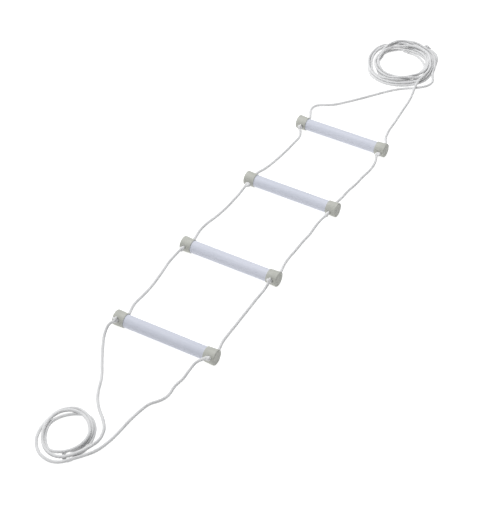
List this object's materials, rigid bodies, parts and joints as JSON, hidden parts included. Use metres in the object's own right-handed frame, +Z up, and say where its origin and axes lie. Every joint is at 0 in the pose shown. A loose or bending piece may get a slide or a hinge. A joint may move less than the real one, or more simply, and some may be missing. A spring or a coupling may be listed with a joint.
{
  "type": "rope ladder",
  "caption": "Light rope ladder of capped tube rungs on knotted cord, with coiled tie ends at the top and a coiled bight below.",
  "frame": {"origin": "on the floor under the middle of the four rungs, midway between rungs 2 and 3, with the ladder laid out flat", "axes": "X along the rungs, +Y up the ladder towards the free ends of the cord, +Z up from the floor"},
  "size_m": [0.2347, 1.571, 0.0322],
  "materials": {
    "rung_tube": "smooth extruded white plastic, faintly lilac",
    "end_cap": "moulded grey rubber, satin",
    "cord": "white braided cord"
  },
  "bodies": {
    "rung_2": {"rung_2_tube": "rung_tube", "rung_2_cap_left": "end_cap", "rung_2_knot_left": "cord", "rung_2_cap_right": "end_cap", "rung_2_knot_right": "cord", "span_1_left_lower": "cord", "span_1_right_lower": "cord", "span_2_left_upper": "cord", "span_2_right_upper": "cord"},
    "rung_1": {"rung_1_tube": "rung_tube", "rung_1_cap_left": "end_cap", "rung_1_knot_left": "cord", "rung_1_cap_right": "end_cap", "rung_1_knot_right": "cord", "span_1_left_upper": "cord", "span_1_right_upper": "cord", "top_lead_left": "cord", "top_lead_right": "cord"},
    "rung_3": {"rung_3_tube": "rung_tube", "rung_3_cap_left": "end_cap", "rung_3_knot_left": "cord", "rung_3_cap_right": "end_cap", "rung_3_knot_right": "cord", "span_2_left_lower": "cord", "span_2_right_lower": "cord", "span_3_left_upper": "cord", "span_3_right_upper": "cord"},
    "rung_4": {"rung_4_tube": "rung_tube", "rung_4_cap_left": "end_cap", "rung_4_knot_left": "cord", "rung_4_cap_right": "end_cap", "rung_4_knot_right": "cord", "span_3_left_lower": "cord", "span_3_right_lower": "cord", "bottom_lead_left": "cord", "bottom_lead_right": "cord"},
    "top_tails": {"top_tail_left": "cord", "end_knot_left": "cord", "top_tail_right": "cord", "end_knot_right": "cord", "top_coil": "cord"},
    "bottom_tails": {"bottom_tail_left": "cord", "bottom_tail_right": "cord", "bottom_coil": "cord"}
  },
  "joints": [
    {"name": "fold_rungs_1_2", "type": "hinge", "parent": "rung_2", "child": "rung_1", "pos_m": [0, 0.25, 0.00685], "axis": [1, 0, 0], "range_deg": [0, 150]},
    {"name": "fold_rungs_2_3", "type": "hinge", "parent": "rung_2", "child": "rung_3", "pos_m": [0, 0, -0.00065], "axis": [1, 0, 0], "range_deg": [0, 175]},
    {"name": "fold_rungs_3_4", "type": "hinge", "parent": "rung_3", "child": "rung_4", "pos_m": [0, -0.25, 0.00685], "axis": [-1, 0, 0], "range_deg": [0, 150]},
    {"name": "swing_top_tails", "type": "hinge", "parent": "rung_1", "child": "top_tails", "pos_m": [0, 0.435, 0.0137], "axis": [-1, 0, 0], "range_deg": [-150, 0]},
    {"name": "swing_bottom_tails", "type": "hinge", "parent": "rung_4", "child": "bottom_tails", "pos_m": [0, -0.435, 0.0087], "axis": [1, 0, 0], "range_deg": [-150, 0]}
  ]
}
